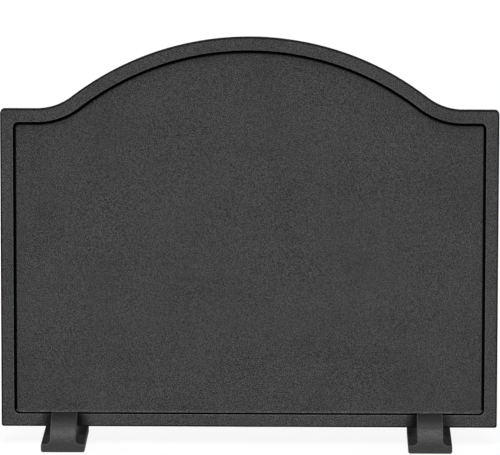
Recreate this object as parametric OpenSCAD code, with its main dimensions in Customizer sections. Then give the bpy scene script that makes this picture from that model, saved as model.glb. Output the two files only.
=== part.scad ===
// Fireback: an arched cast-iron plate that stands in two slotted cast feet.
// Units are millimetres. The origin is on the hearth, under the middle of the
// plate: +X runs along its width, +Y to the back and +Z up.

/* [Plate] */
// Width of the plate
plate_w = 610; // [580:1:680]
// Height of the square shoulders above the plate's lower edge
shoulder_h = 394; // [340:1:450]
// Rise of the arch above the shoulders
arch_rise = 89; // [80:1:95]
// Radius of the arch
arch_r = 356; // [330:1:380]
// Radius of the hollow curve that joins a shoulder to the arch
hollow_r = 70; // [50:1:80]
// Thickness of the plate at its rim
plate_t = 14; // [12:0.5:18]
// Radius of the plate's two upper corners
upper_corner_r = 5.5; // [2:0.5:12]
// Radius of the plate's two lower corners
lower_corner_r = 3; // [1:0.5:12]
// Width of the raised rim
rim_w = 16.5; // [12:0.5:24]
// Depth of the flat panel below the rim
recess_d = 5; // [3:0.5:7]
// Radius of the panel's four corners
panel_corner_r = 6; // [2:0.5:15]

/* [Feet] */
// Length of a foot from front to back
foot_l = 125; // [110:1:150]
// Width of a foot's sole
sole_w = 54; // [48:1:70]
// Thickness of the sole
sole_t = 10; // [8:0.5:12]
// Radius along the sole's two upper edges
sole_upper_r = 1; // [0.5:0.1:2]
// Radius along the sole's two lower edges
sole_lower_r = 2.5; // [1:0.1:4]
// Width of the web that holds the plate
web_w = 31.5; // [26:0.5:38]
// Height of the web's crown above the hearth
web_h = 40; // [36:0.5:46]
// Radius of the web's rounded nose, over the toe and over the heel
nose_r = 22; // [18:0.5:25]
// Radius of the fillets where the web runs into the sole
web_fillet_r = 5; // [2:0.5:6]
// Distance from the plate's left side to the middle of the left foot
left_foot_inset = 78; // [50:1:150]
// Distance from the plate's right side to the middle of the right foot
right_foot_inset = 83; // [50:1:150]

/* [Slot] */
// Height of the slot's floor above the hearth, where the plate sits
seat_h = 21.5; // [18:0.5:26]
// Gap between the plate and each wall of the slot
slot_gap = 0.8; // [0.4:0.1:2]

/* [Hidden] */
$fn = 96;
// Facets of the arch's full circle
arch_fn = 360;
// How far joined shapes run into each other, and cuts run past a face
bite = 1;
// Depth by which two arcs cross where they run smoothly into each other
hair = 0.005;
// Matt black finish of the castings
iron_black = "#404040";

// The plate is drawn from the front: x across, y up from its lower edge and
// z from its flat back to the front of its rim.

// Height of the arch's centre, on the plate's middle line
arch_y = shoulder_h + arch_rise - arch_r;
// Each hollow's centre: its circle touches the shoulder line and the arch
hollow_y = shoulder_h + hollow_r;
hollow_x = sqrt(pow(arch_r + hollow_r, 2) - pow(hollow_y - arch_y, 2));
// Half of the angle that the arch spans
arch_half = asin(hollow_x / (arch_r + hollow_r));

// The outline's square part, with rounded corners
module square_field(half_w, low_y, high_y, upper_r, lower_r) {
    translate([-half_w, low_y + lower_r])
        square([2 * half_w, high_y - upper_r - low_y - lower_r]);
    translate([-half_w + upper_r, high_y - upper_r])
        square([2 * (half_w - upper_r), upper_r]);
    translate([-half_w + lower_r, low_y])
        square([2 * (half_w - lower_r), lower_r]);
    for (side = [-1, 1]) {
        translate([side * (half_w - upper_r), high_y - upper_r])
            circle(r = upper_r);
        translate([side * (half_w - lower_r), low_y + lower_r])
            circle(r = lower_r);
    }
}

// The crest above the shoulders: the arch with a hollow on each side. Each
// hollow is cut a hair deep, so that it crosses the curves that it runs into.
module crest(shoulder_y, arch_in, hollow_out) {
    meet_x = arch_in * sin(arch_half);
    meet_y = arch_y + arch_in * cos(arch_half);
    difference() {
        polygon([
            [-hollow_x, shoulder_y - bite],
            [hollow_x, shoulder_y - bite],
            [hollow_x, shoulder_y],
            [meet_x, meet_y],
            [-meet_x, meet_y],
            [-hollow_x, shoulder_y]
        ]);
        for (side = [-1, 1])
            translate([side * hollow_x, hollow_y])
                circle(r = hollow_out + hair);
    }
    intersection() {
        translate([0, arch_y])
            circle(r = arch_in, $fn = arch_fn);
        translate([-hollow_x, shoulder_y - bite])
            square([2 * hollow_x, arch_rise + bite]);
    }
}

// The plate's outline, moved inwards by inset all the way round
module plate_outline(inset, upper_r, lower_r) {
    square_field(plate_w / 2 - inset, inset, shoulder_h - inset, upper_r, lower_r);
    crest(shoulder_h - inset, arch_r - inset, hollow_r + inset);
}

module fireback_plate() {
    color(iron_black)
        translate([0, plate_t / 2, seat_h])
            rotate([90, 0, 0])
                difference() {
                    linear_extrude(height = plate_t)
                        plate_outline(0, upper_corner_r, lower_corner_r);
                    translate([0, 0, plate_t - recess_d])
                        linear_extrude(height = recess_d + bite)
                            plate_outline(rim_w, panel_corner_r, panel_corner_r);
                }
}

// Radius of the web's crown, which runs smoothly into both noses
nose_y = foot_l / 2 - nose_r;
crown_rise = web_h - sole_t;
crown_r = (pow(nose_y, 2) + pow(crown_rise, 2) - pow(nose_r, 2)) / (2 * (crown_rise - nose_r));
// Angle from upright at which the crown meets a nose
crown_half = asin(nose_y / (crown_r - nose_r));

// Section of a foot as seen from the front: a web on a wider sole
module foot_section() {
    flat_half = sole_w / 2 - sole_upper_r;
    translate([-flat_half, sole_lower_r])
        square([2 * flat_half, sole_t - sole_lower_r]);
    translate([-sole_w / 2, sole_lower_r])
        square([sole_w, sole_t - sole_lower_r - sole_upper_r]);
    translate([-sole_w / 2 + sole_lower_r, 0])
        square([sole_w - 2 * sole_lower_r, sole_lower_r + bite]);
    for (side = [-1, 1]) {
        translate([side * flat_half, sole_t - sole_upper_r])
            circle(r = sole_upper_r);
        translate([side * (sole_w / 2 - sole_lower_r), sole_lower_r])
            circle(r = sole_lower_r);
    }
    translate([-web_w / 2, 0])
        square([web_w, web_h]);
    difference() {
        translate([-web_w / 2 - web_fillet_r, sole_t - bite])
            square([web_w + 2 * web_fillet_r, web_fillet_r + bite]);
        for (side = [-1, 1])
            translate([side * (web_w / 2 + web_fillet_r), sole_t + web_fillet_r])
                circle(r = web_fillet_r);
    }
}

// Profile of a foot as seen from its side: a low arch over a flat sole. The
// core under the arch stays a little inside the curves.
module foot_profile() {
    meet_y = crown_r * sin(crown_half);
    meet_z = web_h - crown_r * (1 - cos(crown_half));
    core_y = meet_y - bite * sin(crown_half);
    core_z = meet_z - bite * cos(crown_half);
    translate([-foot_l / 2, 0])
        square([foot_l, sole_t]);
    polygon([
        [-nose_y, sole_t - bite],
        [nose_y, sole_t - bite],
        [core_y, core_z],
        [-core_y, core_z]
    ]);
    for (side = [-1, 1])
        translate([side * nose_y, sole_t])
            circle(r = nose_r);
    intersection() {
        translate([0, web_h - crown_r])
            circle(r = crown_r - hair, $fn = arch_fn);
        translate([-meet_y, meet_z - bite])
            square([2 * meet_y, web_h]);
    }
}

// One foot, standing across the plate's middle plane
module foot() {
    slot_w = plate_t + 2 * slot_gap;
    difference() {
        intersection() {
            translate([0, foot_l / 2, 0])
                rotate([90, 0, 0])
                    linear_extrude(height = foot_l)
                        foot_section();
            translate([-sole_w / 2, 0, 0])
                rotate([90, 0, 90])
                    linear_extrude(height = sole_w)
                        foot_profile();
        }
        translate([-sole_w / 2, -slot_w / 2, seat_h])
            cube([sole_w, slot_w, web_h]);
    }
}

module left_foot() {
    color(iron_black)
        translate([-plate_w / 2 + left_foot_inset, 0, 0])
            foot();
}

module right_foot() {
    color(iron_black)
        translate([plate_w / 2 - right_foot_inset, 0, 0])
            foot();
}

fireback_plate();
left_foot();
right_foot();
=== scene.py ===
# %% [markdown]
# # A cast-iron fireback that stands in two slotted feet
# A fireback is a heavy iron plate at the back of a hearth. It shields the wall and gives the
# fire's heat back to the room. This one has an arched top, a raised rim round a sunk panel,
# and two low feet. Each foot has a slot across it, and the plate simply stands in both slots.
# All three pieces are sand castings under matt black stove paint, so there is no bolt or
# hinge to model. What makes them look real is the soft edge on every corner, the draft on
# every wall, the fillets, and the grain that the sand leaves in the iron.

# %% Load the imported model, which fixes every size and place
import math

import bmesh
import bpy
import numpy as np
from mathutils import Euler, Matrix, Vector
from mathutils.geometry import delaunay_2d_cdt
from mathutils.kdtree import KDTree


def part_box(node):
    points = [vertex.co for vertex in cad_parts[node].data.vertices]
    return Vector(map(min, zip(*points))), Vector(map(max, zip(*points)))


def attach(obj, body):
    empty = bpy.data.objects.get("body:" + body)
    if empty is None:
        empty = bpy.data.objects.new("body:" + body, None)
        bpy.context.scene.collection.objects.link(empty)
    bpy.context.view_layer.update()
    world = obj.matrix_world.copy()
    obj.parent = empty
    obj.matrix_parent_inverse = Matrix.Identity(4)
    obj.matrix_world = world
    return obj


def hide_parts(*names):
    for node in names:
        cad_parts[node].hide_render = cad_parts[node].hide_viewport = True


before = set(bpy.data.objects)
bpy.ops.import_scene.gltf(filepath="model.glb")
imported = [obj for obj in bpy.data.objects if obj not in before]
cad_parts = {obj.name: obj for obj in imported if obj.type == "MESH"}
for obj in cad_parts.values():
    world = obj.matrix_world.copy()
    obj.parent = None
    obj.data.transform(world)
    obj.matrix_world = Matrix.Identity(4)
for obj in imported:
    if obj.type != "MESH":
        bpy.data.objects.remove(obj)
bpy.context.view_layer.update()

# %% Millimetres, colours and a helper for nodes
MM = 0.001


def linear(hex_colour):
    """The linear colour that a socket expects, from an sRGB hex value."""
    channels = [int(hex_colour[i:i + 2], 16) / 255 for i in (1, 3, 5)]
    low = [c / 12.92 for c in channels]
    high = [((c + 0.055) / 1.055) ** 2.4 for c in channels]
    return (*[a if c <= 0.04045 else b for c, a, b in zip(channels, low, high)], 1.0)


def add_node(tree, kind, settings=(), inputs=()):
    """Adds a node, sets its properties, and gives its inputs a value or a link."""
    node = tree.nodes.new(kind)
    for name, value in dict(settings).items():
        setattr(node, name, value)
    for key, value in dict(inputs).items():
        if isinstance(value, bpy.types.NodeSocket):
            tree.links.new(value, node.inputs[key])
        else:
            node.inputs[key].default_value = value
    return node


print("#404040 is", round(linear("#404040")[0], 4), "in linear light")

# %% [markdown]
# ## The paint
# Stove paint is a dull black film over the skin that the moulding sand left in the iron. One
# flat black would look like plastic: on real castings the light breaks up into small dark and
# pale flecks. So one noise, as fine as the grain, drives the colour, the gloss and the relief
# together, and a broad noise shifts the tone a little from place to place. Painting maps by
# hand would take long and fit one size only. Two marks can lie over the paint: a painted
# highlight on edges that stand proud, and painted shade, a black that also dulls the paint, in
# fillets, on level faces and on the rim beside the webs. Each is a number from 0 to 1 that the
# pieces carry at every point of their mesh.

# %% The sand's grain, and patches of lighter and darker paint
relief_low = 0.34
relief_high = 0.66
patch_size = 70 * MM
patch_share = 0.3


def sand_grain(tree, grain):
    """How proud each grain stands, from 0 to 1, and the paint's tone there."""
    place = add_node(tree, "ShaderNodeTexCoord").outputs["Object"]
    sand = add_node(tree, "ShaderNodeTexNoise", inputs={
        "Vector": place, "Scale": 1 / grain, "Detail": 1.0, "Roughness": 0.3})
    relief = add_node(tree, "ShaderNodeMapRange", inputs={
        "Value": sand.outputs["Fac"], "From Min": relief_low, "From Max": relief_high})
    patches = add_node(tree, "ShaderNodeTexNoise", inputs={
        "Vector": place, "Scale": 1 / patch_size, "Detail": 2.0, "Roughness": 0.5})
    shift = add_node(tree, "ShaderNodeMath", {"operation": "MULTIPLY_ADD"}, {
        0: patches.outputs["Fac"], 1: patch_share, 2: -patch_share / 2})
    tone = add_node(tree, "ShaderNodeMath", {"operation": "ADD", "use_clamp": True}, {
        0: relief.outputs[0], 1: shift.outputs[0]})
    return relief.outputs[0], tone.outputs[0]


print("patches of", round(patch_size / MM), "mm shift the tone by", patch_share / 2, "at most")

# %% The paint's colour
def paint_colour(tree, tone, hollow_hex, proud_hex, marks):
    """Dark hollows and paler grains, with each mark's own colour over them."""
    colour = add_node(tree, "ShaderNodeMix", {"data_type": "RGBA"}, {
        0: tone, 6: linear(hollow_hex), 7: linear(proud_hex)})
    for label, mark_hex in marks.items():
        mark = add_node(tree, "ShaderNodeAttribute", {"attribute_name": label})
        colour = add_node(tree, "ShaderNodeMix", {"data_type": "RGBA"}, {
            0: mark.outputs["Fac"], 6: colour.outputs[2], 7: linear(mark_hex)})
    return colour.outputs[2]


# Rough paint scatters light that only grazes it, which a smooth shader would mirror
grazing_start = 0.5
grazing_dulling = 0.3


def paint_roughness(tree, relief, roughness, spread, painted_shading):
    """Proud grains are smoother, while painted shade and a grazing view dull the paint."""
    dulled = add_node(tree, "ShaderNodeMapRange", inputs={
        "Value": relief, "To Min": roughness + spread, "To Max": roughness - spread})
    view = add_node(tree, "ShaderNodeLayerWeight", inputs={"Blend": 0.5})
    grazing = add_node(tree, "ShaderNodeMapRange", inputs={
        "Value": view.outputs["Facing"], "From Min": grazing_start, "From Max": 1.0,
        "To Max": grazing_dulling})
    extras = [grazing.outputs[0]]
    if painted_shading:
        painted_shade = add_node(tree, "ShaderNodeAttribute", {"attribute_name": "painted_shade"})
        extras.append(painted_shade.outputs["Fac"])
    for extra in extras:
        dulled = add_node(tree, "ShaderNodeMath", {"operation": "ADD", "use_clamp": True}, {
            0: dulled.outputs[0], 1: extra})
    return dulled.outputs[0]


print("a grazing view adds up to", grazing_dulling, "to the roughness, and soot up to 1")

# %% Matt black paint on cast iron
paint_ior = 1.5


def painted_iron(name, hollow_hex, proud_hex, grain, depth, roughness, spread, gloss, marks):
    """Black paint over a sand-cast skin whose grains have this size and depth."""
    material = bpy.data.materials.new(name)
    material.use_nodes = True
    tree = material.node_tree
    shader = tree.nodes["Principled BSDF"]
    relief, tone = sand_grain(tree, grain)
    colour = paint_colour(tree, tone, hollow_hex, proud_hex, marks)
    dulled = paint_roughness(tree, relief, roughness, spread, "painted_shade" in marks)
    bump = add_node(tree, "ShaderNodeBump", inputs={
        "Strength": 1.0, "Distance": depth, "Height": relief})
    tree.links.new(colour, shader.inputs["Base Color"])
    tree.links.new(dulled, shader.inputs["Roughness"])
    tree.links.new(bump.outputs[0], shader.inputs["Normal"])
    shader.inputs["Metallic"].default_value = 0.0
    shader.inputs["IOR"].default_value = paint_ior
    shader.inputs["Specular IOR Level"].default_value = gloss
    return material


print("paint is no metal, with an IOR of", paint_ior)

# %% The five finishes
# The grain of moulding sand is about 0.3 mm, too fine to show in the picture. All five
# finishes draw it 3 to 4 times as coarse, so that it just shows.
# The black of painted shade, where a mark puts it
painted_shade_black = "#020202"

# Coarse casting: dark hollows between paler grains give the plate its fine flecks, and the
# paint has hardly any gloss, which keeps the large flat faces calm; beside the webs its mark
# paints shade black
plate_paint = painted_iron(
    "stove_paint_on_coarse_sand_cast_iron", "#050505", "#545454",
    grain=1.0 * MM, depth=0.45 * MM, roughness=0.5, spread=0.1, gloss=0.2,
    marks={"painted_shade": painted_shade_black})

# Painted highlight on the lip round the recess: its paint is paler and smoother, and it reads
# as a thin light line; beside the webs its mark paints shade black
lip_highlight_paint = painted_iron(
    "painted_highlight_on_the_lip", "#1c1c1c", "#5a5a5a",
    grain=1.0 * MM, depth=0.3 * MM, roughness=0.45, spread=0.1, gloss=0.3,
    marks={"painted_shade": painted_shade_black})

# Finer casting: an even dark grey with a soft gloss that shows how round the webs are, with a
# painted highlight on proud edges and black painted shade in fillets and on level faces
foot_paint = painted_iron(
    "stove_paint_on_fine_sand_cast_iron", "#202020", "#343434",
    grain=1.3 * MM, depth=0.25 * MM, roughness=0.5, spread=0.08, gloss=0.3,
    marks={"painted_highlight": "#646464", "painted_shade": painted_shade_black})

# Painted shade on the plate's edge and on a band beside the recess corner: a dark coat
# without any gloss, which draws the plate's outline
edge_shade_paint = painted_iron(
    "painted_shade_on_the_plates_edge", "#161616", "#242424",
    grain=1.3 * MM, depth=0.3 * MM, roughness=1.0, spread=0.0, gloss=0.0, marks={})

# Painted shade in the corner of the recess: a flat black without any gloss, which reads as a
# fine black line
corner_shade_paint = painted_iron(
    "painted_shade_in_the_recess_corner", "#020202", "#080808",
    grain=1.3 * MM, depth=0.1 * MM, roughness=1.0, spread=0.0, gloss=0.0, marks={})

print("materials:", [paint.name for paint in (
    plate_paint, lip_highlight_paint, foot_paint, edge_shade_paint, corner_shade_paint)])

# %% [markdown]
# ## Outlines with round corners
# The plate's outline, its moulded rim and the feet's curves are all straight runs that turn
# through arcs. The arch and the two hollows beside it are no exception: they are just very
# large rounded corners. They could be drawn with a tool for each kind of curve, but one
# function that rounds the corners of a short list makes them all, each with its own radius.

# %% Round the corners of a path
def rounded_path(corners, radii, arc_steps, line_steps, closed=True):
    """Points along a path whose corners are arcs. Straight run i follows corner i."""
    corners = [Vector(c) for c in corners]
    count = len(corners)
    points = []
    for i, corner in enumerate(corners):
        before = (corners[i - 1] - corner).normalized()
        after = (corners[(i + 1) % count] - corner).normalized()
        end = not closed and i in (0, count - 1)
        turn = 0.0 if end else math.pi - before.angle(after)
        reach = radii[i] * math.tan(turn / 2)
        start, leave = corner + before * reach, corner + after * reach
        if radii[i] > 0 and not end:
            centre = corner + (before + after).normalized() * radii[i] / math.cos(turn / 2)
            sense = math.copysign(1, before.cross(after))
            for k in range(arc_steps[i]):
                swing = Matrix.Rotation(-sense * turn * k / arc_steps[i], 2)
                points.append(centre + swing @ (start - centre))
        if not closed and i == count - 1:
            points.append(corner)
            break
        following = corners[(i + 1) % count]
        onward = (corners[(i + 2) % count] - following).normalized()
        last = not closed and i + 1 == count - 1
        next_turn = 0.0 if last else math.pi - (-after).angle(onward)
        stop = following - after * radii[(i + 1) % count] * math.tan(next_turn / 2)
        for k in range(line_steps[i]):
            points.append(leave.lerp(stop, k / line_steps[i]))
    return points


print("a square of 4 round corners:", len(rounded_path(
    [(0, 0), (1, 0), (1, 1), (0, 1)], [0.2] * 4, [4] * 4, [3] * 4)), "points")

# %% [markdown]
# ## The plate
# The plate is a flat slab with a rim that stands proud all the way round. Sweeping a moulding
# along the outline would be the usual way, but the outer corners are much tighter than the
# rim is wide, and a swept moulding would fold over itself there. So the plate is built from
# rings: each point of the moulding's section gives one ring round the plate, moved inwards by
# that point's distance from the edge, with corners of its own radius. The panel and the back
# are then filled with an even field of triangles, which on the panel is fine enough to carry
# the cast skin.

# %% The plate's sizes
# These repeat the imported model, and the rest of it is read from its box
shoulder_h = 394 * MM
arch_r = 356 * MM
hollow_r = 70 * MM
recess = 5 * MM
upper_corner_r = 5.5 * MM
lower_corner_r = 3 * MM
panel_corner_r = 6 * MM
plate_low, plate_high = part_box("fireback_plate")
plate_w = plate_high.x - plate_low.x
plate_t = plate_high.y - plate_low.y
shoulder_z = plate_low.z + shoulder_h
arch_z = plate_high.z - arch_r
hollow_x = math.sqrt((arch_r + hollow_r) ** 2 - (shoulder_z + hollow_r - arch_z) ** 2)
arch_half = math.asin(hollow_x / (arch_r + hollow_r))

# What the casting adds: soft edges, and a recess wall with draft between a lip and a fillet.
# The wall runs from rim_top to rim_foot, both measured in from the edge.
edge_r = 1.6 * MM
rim_top = 16.0 * MM
rim_foot = 17.8 * MM
lip_r = 1.1 * MM
fillet_r = 3.6 * MM
print("plate", [round(v / MM, 1) for v in (plate_w, plate_t, shoulder_z, hollow_x)], "mm")

# %% The outline at any distance in from the edge
# Steps along a ring, close enough for smooth curves and for cells that carry the cast skin
corner_steps = 10
hollow_steps = 16
arch_steps = 156
sill_steps = 200
side_steps = 130
shoulder_steps = 14


def plate_ring(inset):
    """The plate's outline, moved inwards by inset, seen from the front."""
    hollow_corner = hollow_x - hollow_r * math.tan(arch_half / 2)
    peak = arch_z + arch_r / math.cos(arch_half)
    half = plate_w / 2
    corners = [
        (-half, plate_low.z), (half, plate_low.z), (half, shoulder_z),
        (hollow_corner, shoulder_z), (0, peak),
        (-hollow_corner, shoulder_z), (-half, shoulder_z)]
    corners = [Vector(c) for c in corners]
    moved = []
    for i, corner in enumerate(corners):
        run_in = (corner - corners[i - 1]).normalized()
        run_out = (corners[(i + 1) % len(corners)] - corner).normalized()
        inward_in, inward_out = run_in.orthogonal(), run_out.orthogonal()
        share = inset / (1 + inward_in.dot(inward_out))
        moved.append(corner + (inward_in + inward_out) * share)
    stops = [edge_r, rim_top]
    inner_r = panel_corner_r + (rim_top + rim_foot) / 2 - max(inset, rim_top)
    lower_r = np.interp(inset, stops, [lower_corner_r - min(inset, edge_r), inner_r])
    upper_r = np.interp(inset, stops, [upper_corner_r - min(inset, edge_r), inner_r])
    radii = [lower_r, lower_r, upper_r, hollow_r + inset, arch_r - inset,
             hollow_r + inset, upper_r]
    arcs = [corner_steps] * 3 + [hollow_steps, arch_steps, hollow_steps, corner_steps]
    runs = [sill_steps, side_steps, shoulder_steps, 0, 0, shoulder_steps, side_steps]
    return rounded_path(moved, radii, arcs, runs)


print("one ring has", len(plate_ring(0)), "points")

# %% The section of the moulding
back_start = 10 * MM
panel_start = 21 * MM


def eased(start, stop, steps):
    """Points along a straight run of a section, closer together near its ends."""
    return [start.lerp(stop, (1 - math.cos(math.pi * k / steps)) / 2) for k in range(steps)]


def moulding():
    """The section, as distance in from the edge and depth behind the rim's face."""
    corners = [(back_start, plate_t), (0, plate_t), (0, 0), (rim_top, 0),
               (rim_foot, recess), (panel_start, recess)]
    radii = [0, edge_r, edge_r, lip_r, fillet_r, 0]
    # Steps round each bend, and along each straight run that follows one
    bends = [0, 6, 6, 4, 7, 0]
    runs = [4, 5, 8, 4, 2]
    coarse = rounded_path(corners, radii, bends, [1] * len(corners), closed=False)
    run_starts = {sum(bends[:i + 1]) + i: steps for i, steps in enumerate(runs)}
    points = []
    for i, point in enumerate(coarse[:-1]):
        points += eased(point, coarse[i + 1], run_starts.get(i, 1))
    return points + [coarse[-1]]


section = moulding()
print("the moulding has", len(section), "points, for", len(section), "rings")

# %% [markdown]
# ## Where one finish ends and the next starts
# The plate's faces don't all take the same paint: painted shade darkens the edge and the
# corner of the recess, and a painted highlight lightens the lip. A second set of overlapping
# pieces could carry those finishes, but the plate is one casting. So every face between two
# rings is given a finish by its distance in from the edge and by where on the plate it is. The
# widths were matched to the picture of the real plate, where the lines differ a little from
# side to side.

# %% The finishes of the rim
FACE, EDGE, CORNER, LIP = range(4)
edge_end = 1.7 * MM
side_edge_end = 2.0 * MM
lip_start = 14.5 * MM
corner_start = 15.8 * MM
ledge_corner_end = 17.7 * MM
corner_end = 18.9 * MM
side_fade_end = 19.5 * MM
top_fade_end = 20.4 * MM


def finish_of(level, point):
    """The finish of the face that starts at this point of a ring."""
    middle = (section[level] + section[level + 1]) / 2
    side = abs(point.x) > plate_w / 2 - side_edge_end
    ledge = point.y < plate_low.z + panel_start
    top = point.y > shoulder_z - panel_start
    edge = side_edge_end if side or ledge else edge_end
    # The upright side walls keep the face's paint, and only their front corner gets painted shade
    if middle.x < edge and middle.y < plate_t - edge_r / 2:
        return FACE if side and middle.y > edge_r else EDGE
    # The lip takes the painted highlight
    if lip_start < middle.x < corner_start:
        return LIP
    # The corner takes black painted shade
    if corner_start < middle.x < (ledge_corner_end if ledge else corner_end):
        return CORNER
    # A band beside the corner gets the edge's painted shade too, wider under the top
    fade_end = top_fade_end if top else side_fade_end
    return EDGE if not ledge and corner_end < middle.x < fade_end else FACE


print("finishes up the plate's left side:", sorted({
    finish_of(level, Vector((-plate_w / 2, shoulder_z / 2))) for level in range(len(section) - 1)}))

# %% Fill a flat loop with an even field of triangles
clear_share = 0.65
inside_only = 1
merge_reach = 1e-9


def field(loop, spacing):
    """The loop and a field of points inside it, with the triangles that join them."""
    tree = KDTree(len(loop))
    for i, point in enumerate(loop):
        tree.insert((point.x, point.y, 0), i)
    tree.balance()
    ends = np.array(loop)
    starts = np.roll(ends, 1, 0)
    inside = []
    rows = np.arange(ends[:, 1].min(), ends[:, 1].max(), spacing * math.sqrt(0.75))
    for number, height in enumerate(rows):
        crossed = (starts[:, 1] > height) != (ends[:, 1] > height)
        a, b = starts[crossed], ends[crossed]
        hits = a[:, 0] + (height - a[:, 1]) * (b[:, 0] - a[:, 0]) / (b[:, 1] - a[:, 1])
        if len(hits) < 2:
            continue
        first = hits.min() - hits.min() % spacing + (number % 2) * spacing / 2
        for across in np.arange(first, hits.max(), spacing):
            near = tree.find((across, height, 0))[2]
            if across > hits.min() and near > clear_share * spacing:
                inside.append(Vector((across, height)))
    points = list(loop) + inside
    outline = [list(range(len(loop)))]
    made = delaunay_2d_cdt(points, [], outline, inside_only, merge_reach)
    return points, made[2]


print("a 100 mm square filled at 10 mm:", len(field(
    [Vector(p) * 0.1 for p in ((0, 0), (1, 0), (1, 1), (0, 1))], 10 * MM)[0]), "points")

# %% Build the plate
panel_spacing = 2.3 * MM
back_spacing = 8 * MM


def plate_mesh():
    """Rings round the edge and the rim, a fine field on the panel, a coarse one behind."""
    rings = [plate_ring(p.x) for p in section]
    count = len(rings[0])
    vertices = [(q.x, plate_low.y + p.y, q.y) for p, ring in zip(section, rings) for q in ring]
    faces = []
    for level in range(len(rings) - 1):
        base = level * count
        for i in range(count):
            j = (i + 1) % count
            faces.append((base + i, base + j, base + count + j, base + count + i))
    for level, spacing in ((len(rings) - 1, panel_spacing), (0, back_spacing)):
        points, triangles = field(rings[level], spacing)
        depth = plate_low.y + section[level].y
        shift = len(vertices) - count
        vertices += [(q.x, depth, q.y) for q in points[count:]]
        for corners in triangles:
            faces.append([k + (level * count if k < count else shift) for k in corners])
    mesh = bpy.data.meshes.new("fireback_plate_casting")
    mesh.from_pydata(vertices, [], faces)
    finish = mesh.attributes.new("finish", "INT", "FACE")
    for level in range(len(rings) - 1):
        for i, point in enumerate(rings[level]):
            finish.data[level * count + i].value = finish_of(level, point)
    return mesh


plate = bpy.data.objects.new("fireback_plate_casting", plate_mesh())
bpy.context.scene.collection.objects.link(plate)
print("plate:", len(plate.data.vertices), "vertices,", len(plate.data.polygons), "faces")

# %% Point every face of the plate outwards
weld_reach = 0.001 * MM
litres_in_a_cubic_metre = 1000


def face_outwards(mesh):
    """Merges doubled points and turns all faces outwards."""
    work = bmesh.new()
    work.from_mesh(mesh)
    bmesh.ops.remove_doubles(work, verts=work.verts, dist=weld_reach)
    bmesh.ops.recalc_face_normals(work, faces=work.faces)
    open_edges = sum(1 for e in work.edges if not e.is_manifold)
    litres = work.calc_volume() * litres_in_a_cubic_metre
    work.to_mesh(mesh)
    work.free()
    return open_edges, litres


open_edges, litres = face_outwards(plate.data)
print("open edges:", open_edges, "volume in litres:", round(litres, 3))

# %% [markdown]
# ## The feet
# Seen from the front, a foot is a broad sole with an upright web on it. Seen from the side,
# it is a low arch: the web rises from the toe in a tight curve, runs over a flat crown and
# falls to the heel. The casting is what both outlines have in common, so Geometry Nodes can
# make it by rule: sweep each outline straight through, keep the overlap, and cut the slot.
# Modelling it by hand would tie the web's fillets to one set of sizes.

# %% Trees with named inputs
def new_tree(name, inputs):
    """A geometry tree with these named inputs, and its two end nodes."""
    tree = bpy.data.node_groups.new(name, "GeometryNodeTree")
    tree.interface.new_socket("Geometry", in_out="INPUT", socket_type="NodeSocketGeometry")
    tree.interface.new_socket("Geometry", in_out="OUTPUT", socket_type="NodeSocketGeometry")
    for label, kind in inputs.items():
        tree.interface.new_socket(label, in_out="INPUT", socket_type="NodeSocket" + kind)
    return tree, tree.nodes.new("NodeGroupInput"), tree.nodes.new("NodeGroupOutput")


def end_tree(tree, result, geometry, paint):
    """Ends a tree with real geometry under one paint."""
    real = add_node(tree, "GeometryNodeRealizeInstances", inputs={"Geometry": geometry})
    painted = add_node(tree, "GeometryNodeSetMaterial", inputs={
        "Geometry": real.outputs[0], "Material": paint})
    tree.links.new(painted.outputs[0], result.inputs[0])


def add_tree(piece, tree, values):
    """Gives a piece the tree as a modifier, with each input set by its identifier."""
    modifier = piece.modifiers.new(tree.name, "NODES")
    modifier.node_group = tree
    for socket in tree.interface.items_tree:
        if socket.in_out == "INPUT" and socket.name in values:
            modifier[socket.identifier] = values[socket.name]


def to_plain_mesh(piece):
    """Turns what the modifiers make of a piece into its own mesh."""
    graph = bpy.context.evaluated_depsgraph_get()
    made = bpy.data.meshes.new_from_object(piece.evaluated_get(graph))
    piece.modifiers.clear()
    piece.data = made
    return made


print("geometry trees so far:", len(bpy.data.node_groups))

# %% An outline of round corners as nodes
arc_points = 24


def corner_curve(tree, corners):
    """A closed curve through corners given as (across, up, radius), rounded."""
    index = add_node(tree, "GeometryNodeInputIndex").outputs[0]
    picks = []
    for part in range(3):
        pick = add_node(tree, "GeometryNodeIndexSwitch", {"data_type": "FLOAT"}, {"Index": index})
        while len(pick.index_switch_items) < len(corners):
            pick.index_switch_items.new()
        for number, corner in enumerate(corners):
            value = corner[part]
            if isinstance(value, bpy.types.NodeSocket):
                tree.links.new(value, pick.inputs[number + 1])
            else:
                pick.inputs[number + 1].default_value = value
        picks.append(pick.outputs[0])
    ring = add_node(tree, "GeometryNodeCurvePrimitiveCircle", inputs={"Resolution": len(corners)})
    upside = add_node(tree, "ShaderNodeMath", {"operation": "MULTIPLY"}, {0: picks[1], 1: -1.0})
    spot = add_node(tree, "ShaderNodeCombineXYZ", inputs={0: picks[0], 1: upside.outputs[0]})
    placed = add_node(tree, "GeometryNodeSetPosition", inputs={
        "Geometry": ring.outputs["Curve"], "Position": spot.outputs[0]})
    fillet = add_node(tree, "GeometryNodeFilletCurve", {"mode": "POLY"}, {
        "Curve": placed.outputs[0], "Radius": picks[2], "Count": arc_points})
    return fillet.outputs[0]


def swept(tree, outline, start, end):
    """A solid that carries an outline straight from start to end, along a level line."""
    path = add_node(tree, "GeometryNodeCurvePrimitiveLine", inputs={"Start": start, "End": end})
    solid = add_node(tree, "GeometryNodeCurveToMesh", inputs={
        "Curve": path.outputs[0], "Profile Curve": outline, "Fill Caps": True})
    return solid.outputs[0]


def halves(tree, socket):
    """Plus and minus half of a size."""
    plus = add_node(tree, "ShaderNodeMath", {"operation": "MULTIPLY"}, {0: socket, 1: 0.5})
    minus = add_node(tree, "ShaderNodeMath", {"operation": "MULTIPLY"}, {0: socket, 1: -0.5})
    return plus.outputs[0], minus.outputs[0]


print("each corner of an outline is an arc of", arc_points, "points")

# %% The slot's cutter
cutter_half = 1.0


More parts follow.
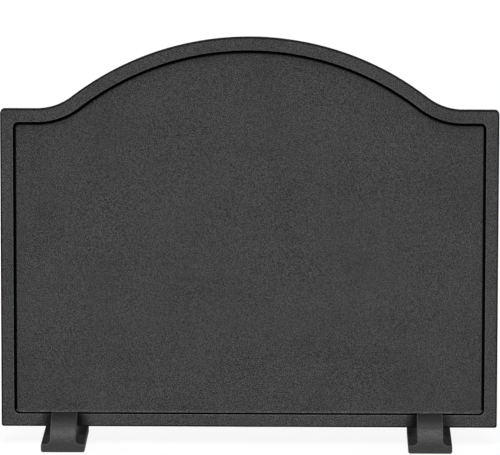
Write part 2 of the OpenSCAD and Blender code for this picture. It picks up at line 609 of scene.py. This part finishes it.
def slot_cutter(tree, slot_width, seat_height):
    """A block as wide as the slot, from its floor upwards and far past the foot."""
    block = add_node(tree, "ShaderNodeCombineXYZ", inputs={
        0: cutter_half, 1: slot_width, 2: 2 * cutter_half})
    slot = add_node(tree, "GeometryNodeMeshCube", inputs={"Size": block.outputs[0]})
    lift = add_node(tree, "ShaderNodeMath", {"operation": "ADD"}, {0: seat_height, 1: cutter_half})
    raised = add_node(tree, "ShaderNodeCombineXYZ", inputs={2: lift.outputs[0]})
    placed = add_node(tree, "GeometryNodeTransform", inputs={
        "Geometry": slot.outputs[0], "Translation": raised.outputs[0]})
    return placed.outputs[0]


print("the cutter is", 2 * cutter_half, "m high, which is past the top of any foot")

# %% The foot's tree
def foot_tree():
    """Section and side outline swept through each other, less the slot."""
    tree, given, result = new_tree("slotted_foot", {
        "Length": "Float", "Sole Width": "Float", "Sole Thickness": "Float",
        "Web Width": "Float", "Web Fillet": "Float", "Sole Corner": "Float",
        "Shoulder Height": "Float", "Peak Height": "Float", "Nose Radius": "Float",
        "Crown Radius": "Float", "Slot Width": "Float", "Seat Height": "Float",
        "Middle": "Vector", "Paint": "Material"})
    size = given.outputs
    sole, sole_back = halves(tree, size["Sole Width"])
    web, web_back = halves(tree, size["Web Width"])
    toe, heel = halves(tree, size["Length"])
    thick, tall = size["Sole Thickness"], size["Peak Height"]
    section_outline = corner_curve(tree, [
        (sole_back, 0.0, size["Sole Corner"]), (sole, 0.0, size["Sole Corner"]),
        (sole, thick, 0.0), (web, thick, size["Web Fillet"]), (web, tall, 0.0),
        (web_back, tall, 0.0), (web_back, thick, size["Web Fillet"]), (sole_back, thick, 0.0)])
    side_outline = corner_curve(tree, [
        (heel, 0.0, 0.0), (toe, 0.0, 0.0), (toe, size["Shoulder Height"], size["Nose Radius"]),
        (0.0, tall, size["Crown Radius"]),
        (heel, size["Shoulder Height"], size["Nose Radius"])])
    ends = [add_node(tree, "ShaderNodeCombineXYZ", inputs={axis: end}).outputs[0]
            for axis, end in ((1, heel), (1, toe), (0, sole_back), (0, sole))]
    along = swept(tree, section_outline, ends[0], ends[1])
    across = swept(tree, side_outline, ends[2], ends[3])
    shared = add_node(tree, "GeometryNodeMeshBoolean", {"operation": "INTERSECT", "solver": "EXACT"})
    tree.links.new(along, shared.inputs["Mesh 2"])
    tree.links.new(across, shared.inputs["Mesh 2"])
    cut = add_node(tree, "GeometryNodeMeshBoolean", {"operation": "DIFFERENCE", "solver": "EXACT"}, {
        "Mesh 1": shared.outputs[0]})
    tree.links.new(slot_cutter(tree, size["Slot Width"], size["Seat Height"]), cut.inputs["Mesh 2"])
    placed = add_node(tree, "GeometryNodeTransform", inputs={
        "Geometry": cut.outputs[0], "Translation": size["Middle"]})
    end_tree(tree, result, placed.outputs[0], size["Paint"])
    return tree


slotted_foot = foot_tree()
print("the foot's tree has", len(slotted_foot.nodes), "nodes")

# %% [markdown]
# ## The cast skin
# A casting has no sharp edge and no perfectly flat face: the sand leaves fine dents, and the
# pattern and the cooling leave broad, shallow waves. Bump in a material would only pretend,
# and the outline would stay straight. So a tree moves the mesh itself, always inwards, so
# that the casting stays inside the CAD model's box. Before that the same tree marks each
# point. One that stands proud of its neighbours gets a painted highlight. One that lies sunk
# between them is in a fillet, and it gets painted shade, as level faces do.

# %% Where highlight and shade are painted
edge_cells = 6
fillet_cells = 24
highlight_from = 0.15 * MM
highlight_to = 0.6 * MM
sunk_from = -0.05 * MM
sunk_to = -0.25 * MM
level_from = 0.93


def stands_proud(tree, here, facing, cells):
    """How far a point stands out from the average of the cells round it."""
    around = add_node(tree, "GeometryNodeBlurAttribute", {"data_type": "FLOAT_VECTOR"}, {
        "Value": here, "Iterations": cells})
    offset = add_node(tree, "ShaderNodeVectorMath", {"operation": "SUBTRACT"}, {
        0: here, 1: around.outputs[0]})
    height = add_node(tree, "ShaderNodeVectorMath", {"operation": "DOT_PRODUCT"}, {
        0: offset.outputs[0], 1: facing})
    return height.outputs["Value"]


def marked_casting(tree, geometry, here, facing):
    """Stores the two marks that the paint reads, from 0 to 1: painted highlight and painted shade."""
    painted_highlight = add_node(tree, "ShaderNodeMapRange", inputs={
        "Value": stands_proud(tree, here, facing, edge_cells),
        "From Min": highlight_from, "From Max": highlight_to})
    sunk = add_node(tree, "ShaderNodeMapRange", inputs={
        "Value": stands_proud(tree, here, facing, fillet_cells),
        "From Min": sunk_from, "From Max": sunk_to})
    upward = add_node(tree, "ShaderNodeSeparateXYZ", inputs={0: facing})
    level = add_node(tree, "ShaderNodeMapRange", inputs={
        "Value": upward.outputs[2], "From Min": level_from, "From Max": 1.0})
    painted_shade = add_node(tree, "ShaderNodeMath", {"operation": "MAXIMUM"}, {
        0: sunk.outputs[0], 1: level.outputs[0]})
    for label, mark in (("painted_highlight", painted_highlight), ("painted_shade", painted_shade)):
        geometry = add_node(tree, "GeometryNodeStoreNamedAttribute", {
            "data_type": "FLOAT", "domain": "POINT"}, {
            "Geometry": geometry, "Name": label, "Value": mark.outputs[0]}).outputs[0]
    return geometry


# Edges that stand proud get the painted highlight
print("rubbed where a point stands", highlight_from / MM, "to", highlight_to / MM, "mm proud")

# %% The dents that the sand leaves
def sand_dents(tree, here, facing, size):
    """How each point moves inwards: fine grain on broad waves."""
    shifted = add_node(tree, "ShaderNodeVectorMath", {"operation": "ADD"}, {
        0: here, 1: size["Seed"]})
    depths = []
    for label, detail in (("Grain", 2.0), ("Wave", 1.0)):
        often = add_node(tree, "ShaderNodeMath", {"operation": "DIVIDE"}, {
            0: 1.0, 1: size[label + " Size"]})
        noise = add_node(tree, "ShaderNodeTexNoise", inputs={
            "Vector": shifted.outputs[0], "Scale": often.outputs[0], "Detail": detail})
        depths.append(add_node(tree, "ShaderNodeMath", {"operation": "MULTIPLY"}, {
            0: noise.outputs[0], 1: size[label + " Depth"]}).outputs[0])
    sunk = add_node(tree, "ShaderNodeMath", {"operation": "ADD"}, {0: depths[0], 1: depths[1]})
    inwards = add_node(tree, "ShaderNodeMath", {"operation": "MULTIPLY"}, {
        0: sunk.outputs[0], 1: -1.0})
    push = add_node(tree, "ShaderNodeVectorMath", {"operation": "SCALE"}, {
        0: facing, "Scale": inwards.outputs[0]})
    return push.outputs[0]


def skin_tree():
    """Marks a casting, softens its edges and sinks the grain of the sand into it."""
    tree, given, result = new_tree("sand_cast_skin", {
        "Edge Softness": "Int", "Grain Size": "Float", "Grain Depth": "Float",
        "Wave Size": "Float", "Wave Depth": "Float", "Seed": "Float", "Paint": "Material"})
    size = given.outputs
    here = add_node(tree, "GeometryNodeInputPosition").outputs[0]
    facing = add_node(tree, "GeometryNodeInputNormal").outputs[0]
    calm = add_node(tree, "GeometryNodeBlurAttribute", {"data_type": "FLOAT_VECTOR"}, {
        "Value": here, "Iterations": size["Edge Softness"]})
    soft = add_node(tree, "GeometryNodeSetPosition", inputs={
        "Geometry": marked_casting(tree, size["Geometry"], here, facing),
        "Position": calm.outputs[0]})
    grainy = add_node(tree, "GeometryNodeSetPosition", inputs={
        "Geometry": soft.outputs[0], "Offset": sand_dents(tree, here, facing, size)})
    smooth = add_node(tree, "GeometryNodeSetShadeSmooth", inputs={
        "Geometry": grainy.outputs[0]})
    end_tree(tree, result, smooth.outputs[0], size["Paint"])
    return tree


sand_cast_skin = skin_tree()
print("the skin's tree has", len(sand_cast_skin.nodes), "nodes")

# %% [markdown]
# ## Casting the feet
# Both feet are one casting, made twice. The tree gives a blank with sharp edges and long thin
# faces, which neither softens nor takes grain. A bevel would have to follow every edge where
# the curves cross. Remeshing the blank into small even cells is simpler: the skin's tree can
# then round all edges at once and dent every face alike. Each foot has its own seed, so the
# two don't carry the same dents.

# %% The feet's sizes
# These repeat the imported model, and the length and width of a foot are read from its box
web_h = 40 * MM
web_w = 31.5 * MM
web_fillet_r = 5 * MM
sole_t = 10 * MM
sole_lower_r = 2.5 * MM
nose_r = 22 * MM
slot_gap = 0.8 * MM


def foot_values(node):
    """The tree's inputs for one foot, worked out from its box."""
    low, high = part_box(node)
    reach = (high.y - low.y) / 2 - nose_r
    rise = web_h - sole_t
    crown_r = (reach ** 2 + rise ** 2 - nose_r ** 2) / (2 * (rise - nose_r))
    crown_half = math.asin(reach / (crown_r - nose_r))
    peak = web_h - crown_r + crown_r / math.cos(crown_half)
    shoulder = peak - (reach + nose_r) * math.tan(crown_half)
    return {
        "Length": high.y - low.y, "Sole Width": high.x - low.x, "Sole Thickness": sole_t,
        "Web Width": web_w, "Web Fillet": web_fillet_r, "Sole Corner": sole_lower_r,
        "Shoulder Height": shoulder, "Peak Height": peak, "Nose Radius": nose_r,
        "Crown Radius": crown_r, "Slot Width": plate_t + 2 * slot_gap,
        "Seat Height": plate_low.z, "Middle": Vector(((low.x + high.x) / 2, 0, 0)),
        "Paint": foot_paint}


print("crown radius:", round(foot_values("left_foot")["Crown Radius"] / MM, 1), "mm")

# %% Cast both feet
cell = 0.65 * MM


def cast_foot(node, seed):
    """One foot: its blank, evened out into small cells, then its skin."""
    name = node + "_casting"
    piece = bpy.data.objects.new(name, bpy.data.meshes.new(name))
    bpy.context.scene.collection.objects.link(piece)
    add_tree(piece, slotted_foot, foot_values(node))
    remesh = piece.modifiers.new("even_cells", "REMESH")
    remesh.mode = "VOXEL"
    remesh.voxel_size = cell
    add_tree(piece, sand_cast_skin, {
        "Edge Softness": 2, "Grain Size": 7 * MM, "Grain Depth": 0.08 * MM,
        "Wave Size": 40 * MM, "Wave Depth": 0.2 * MM, "Seed": seed, "Paint": foot_paint})
    mesh = to_plain_mesh(piece)
    # The cells can stand a hair outside the CAD model's box, and are brought back into it
    low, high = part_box(node)
    for vertex in mesh.vertices:
        vertex.co = [min(max(c, a), b) for c, a, b in zip(vertex.co, low, high)]
    return piece


left_foot = cast_foot("left_foot", seed=3.0)
right_foot = cast_foot("right_foot", seed=8.0)
for foot in (left_foot, right_foot):
    print(foot.name, len(foot.data.vertices), "vertices", [round(v / MM, 1) for v in foot.dimensions])

# %% Give the plate its skin and its finishes
# The plate's rings already round its edges, so the skin doesn't soften them again. The tree
# sets one paint, and the finish of each face then picks its own out of the plate's four.
add_tree(plate, sand_cast_skin, {
    "Edge Softness": 0, "Grain Size": 6 * MM, "Grain Depth": 0.12 * MM,
    "Wave Size": 60 * MM, "Wave Depth": 0.25 * MM, "Seed": 1.0, "Paint": plate_paint})
casting = to_plain_mesh(plate)
for paint in (edge_shade_paint, corner_shade_paint, lip_highlight_paint):
    casting.materials.append(paint)
for face, finish in zip(casting.polygons, casting.attributes["finish"].data):
    face.material_index = finish.value
print("plate:", len(casting.vertices), "vertices,", len(casting.materials), "finishes")

# %% [markdown]
# ## Painted shade beside the webs
# On the rim, in the corners between the plate and the webs, the paint is made black and dull:
# this is painted shade. The skin's rule for painted shade doesn't know of the feet, and sees
# only the plate's own shape. So the plate's mark is worked out again here from each point's
# distance to the side of a web. It is strongest beside a web and reaches further low down.
# Behind the web, where iron stands against iron, it fades away. How strong it is in each of
# the four corners was matched to the picture of the real one.

# %% Painted shade in the corners beside the webs
painted_shade_reach_low = 20 * MM
painted_shade_reach_high = 13 * MM
painted_shade_reach_behind = 8 * MM
# Above 1, so that the paint right beside a web is black all the way
painted_shade_strength = 1.3
painted_shade_corners = []
for node, left_share, right_share in (("left_foot", 0.9, 1.0), ("right_foot", 1.0, 0.62)):
    foot_low, foot_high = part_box(node)
    middle = (foot_low.x + foot_high.x) / 2
    painted_shade_corners += [(middle - web_w / 2, -1, left_share), (middle + web_w / 2, 1, right_share)]


def painted_shade_beside_webs(point):
    """How much painted shade the front of the rim takes at a point of the plate."""
    climb = (point.z - plate_low.z) / rim_foot
    if point.y > 0 or climb > 1:
        return 0.0
    reach = painted_shade_reach_low + (painted_shade_reach_high - painted_shade_reach_low) * climb
    painted_shade = 0.0
    for web_side, sense, share in painted_shade_corners:
        beside = (point.x - web_side) * sense
        outside = painted_shade_strength * (1 - beside / reach)
        behind = 1 + beside / painted_shade_reach_behind
        painted_shade = max(painted_shade, share * min(outside if beside > 0 else behind, 1))
    return painted_shade


# Each point's painted shade, which replaces the skin's mark on the plate
painted_shading = [painted_shade_beside_webs(vertex.co) for vertex in casting.vertices]
casting.attributes["painted_shade"].data.foreach_set("value", painted_shading)
print("sooty points on the plate:", sum(1 for painted_shade in painted_shading if painted_shade > 0))

# %% [markdown]
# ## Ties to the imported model
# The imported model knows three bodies: the plate, which lifts straight up, and the two feet,
# which stay on the hearth. Each casting takes the place of one CAD node and rides on that
# node's body, so that it moves as the real piece would.

# %% Tie the pieces to the frame
for piece, node, body, slot in (
        (plate, "fireback_plate", "plate_body", "plate_iron"),
        (left_foot, "left_foot", "left_foot_body", "foot_iron"),
        (right_foot, "right_foot", "right_foot_body", "foot_iron")):
    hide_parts(node)
    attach(piece, body)
    print(piece.name, "rides on", body)

# %% [markdown]
# ## The floor
# The real thing was pictured on plain white. A bright floor would throw light up at black
# iron, and a world of white would light it from all sides. So the floor is a middle grey that
# catches the shadow, and it glows only for rays from the camera, from gloss and through glass:
# the object isn't lit by it. A low wall far out hides the horizon where the camera looks level.

# %% Floor and wall
floor_reach = 20.0
wall_height = 2.0
floor_grey = "#505050"
floor_glow = 0.88
corners = [(x * floor_reach, y * floor_reach) for x, y in ((-1, -1), (1, -1), (1, 1), (-1, 1))]
floor_mesh = bpy.data.meshes.new("studio_floor")
floor_mesh.from_pydata([(x, y, 0) for x, y in corners], [], [(0, 1, 2, 3)])
wall_mesh = bpy.data.meshes.new("studio_wall")
wall_mesh.from_pydata(
    [(x, y, z) for z in (0, wall_height) for x, y in corners],
    [], [(i, i + 4, (i + 1) % 4 + 4, (i + 1) % 4) for i in range(4)])
floor = bpy.data.objects.new("studio_floor", floor_mesh)
wall = bpy.data.objects.new("studio_wall", wall_mesh)
# The wall casts no shadow, so that it takes nothing from the low lights
wall.visible_shadow = False
print("floor:", 2 * floor_reach, "m across, with a wall", wall_height, "m high round it")

# %% The floor's paint
floor_paint = bpy.data.materials.new("pale_studio_floor")
floor_paint.use_nodes = True
floor_tree = floor_paint.node_tree
floor_shader = floor_tree.nodes["Principled BSDF"]
floor_shader.inputs["Base Color"].default_value = linear(floor_grey)
floor_shader.inputs["Roughness"].default_value = 1.0
floor_shader.inputs["Specular IOR Level"].default_value = 0.0
floor_shader.inputs["Emission Color"].default_value = (1, 1, 1, 1)
ray = add_node(floor_tree, "ShaderNodeLightPath")
seen = add_node(floor_tree, "ShaderNodeMath", {"operation": "ADD"}, {
    0: ray.outputs["Is Camera Ray"], 1: ray.outputs["Is Glossy Ray"]})
seen = add_node(floor_tree, "ShaderNodeMath", {"operation": "ADD", "use_clamp": True}, {
    0: seen.outputs[0], 1: ray.outputs["Is Transmission Ray"]})
glow = add_node(floor_tree, "ShaderNodeMath", {"operation": "MULTIPLY"}, {
    0: seen.outputs[0], 1: floor_glow})
floor_tree.links.new(glow.outputs[0], floor_shader.inputs["Emission Strength"])
for backdrop in (floor, wall):
    bpy.context.scene.collection.objects.link(backdrop)
    backdrop.data.materials.append(floor_paint)
print("the floor's own glow is", floor_glow, "where white is 1")

# %% [markdown]
# ## The lights
# Black paint shows its shape only in soft, broad light. One big lamp in front would flatten
# the rim, so most of the light comes from in front at three heights, with a weak one from the
# left. Weak lamps at both sides and behind keep the plate's walls and back from going black
# when the object is seen from there. Each is a sun with a wide disc, because a far light falls
# on the whole object alike, and a wide disc gives soft shadows.

# %% Lights
front_width = 28
back_width = 20


def soft_sun(name, azimuth, elevation, strength, width):
    """A broad far light: azimuth 0 is straight in front, positive to the right."""
    lamp = bpy.data.lights.new(name, "SUN")
    lamp.energy = strength * math.pi
    lamp.angle = math.radians(width)
    piece = bpy.data.objects.new(name, lamp)
    piece.rotation_euler = Euler((math.radians(90 - elevation), 0, math.radians(azimuth)))
    bpy.context.scene.collection.objects.link(piece)
    return piece


lights = [
    soft_sun("low_front_light", 0, 20, 0.38, front_width),
    soft_sun("high_front_light", 0, 60, 0.68, front_width),
    soft_sun("overhead_light", 0, 85, 0.46, front_width),
    soft_sun("left_light", -30, 40, 0.24, front_width),
    soft_sun("left_side_light", -90, 20, 0.2, front_width),
    soft_sun("right_side_light", 90, 20, 0.2, front_width),
    soft_sun("back_left_light", -135, 18, 0.22, back_width),
    soft_sun("back_right_light", 135, 18, 0.22, back_width)]
print("lights:", [light.name for light in lights])

# %% A trace of light from all round
world_strength = 0.02
world = bpy.data.worlds.new("studio")
bpy.context.scene.world = world
world.use_nodes = True
sky = world.node_tree.nodes["Background"]
sky.inputs["Color"].default_value = (1, 1, 1, 1)
sky.inputs["Strength"].default_value = world_strength
print("the world gives", world_strength, "of full light")

# %% [markdown]
# ## The camera
# The picture was taken from far off, nearly square on and a little from above, which shows
# the tops of the feet and hardly any side of the plate. A long lens at 6.5 m gives the same
# view. Its place and aim were fitted to the outline of the plate and to both feet.

# %% Camera
camera_right = 83.5 * MM
camera_away = 6500 * MM
camera_height = 1290.5 * MM
look_down = math.radians(8.928)
look_left = math.radians(0.730)
lean = math.radians(0.090)
focal_length = 386.7
sensor_width = 36
camera_data = bpy.data.cameras.new("camera")
camera_data.sensor_width = sensor_width
camera_data.lens = focal_length
camera_data.clip_start = 0.1
camera_data.clip_end = 200
camera = bpy.data.objects.new("camera", camera_data)
camera.location = (camera_right, -camera_away, camera_height)
aim = Euler((math.pi / 2 - look_down, 0, look_left)).to_matrix()
camera.rotation_euler = (aim @ Matrix.Rotation(lean, 3, "Z")).to_euler()
bpy.context.scene.collection.objects.link(camera)
bpy.context.scene.camera = camera
bpy.context.scene.view_settings.view_transform = "Standard"
print("camera:", round(camera.location.length, 2), "m away, lens", focal_length, "mm")
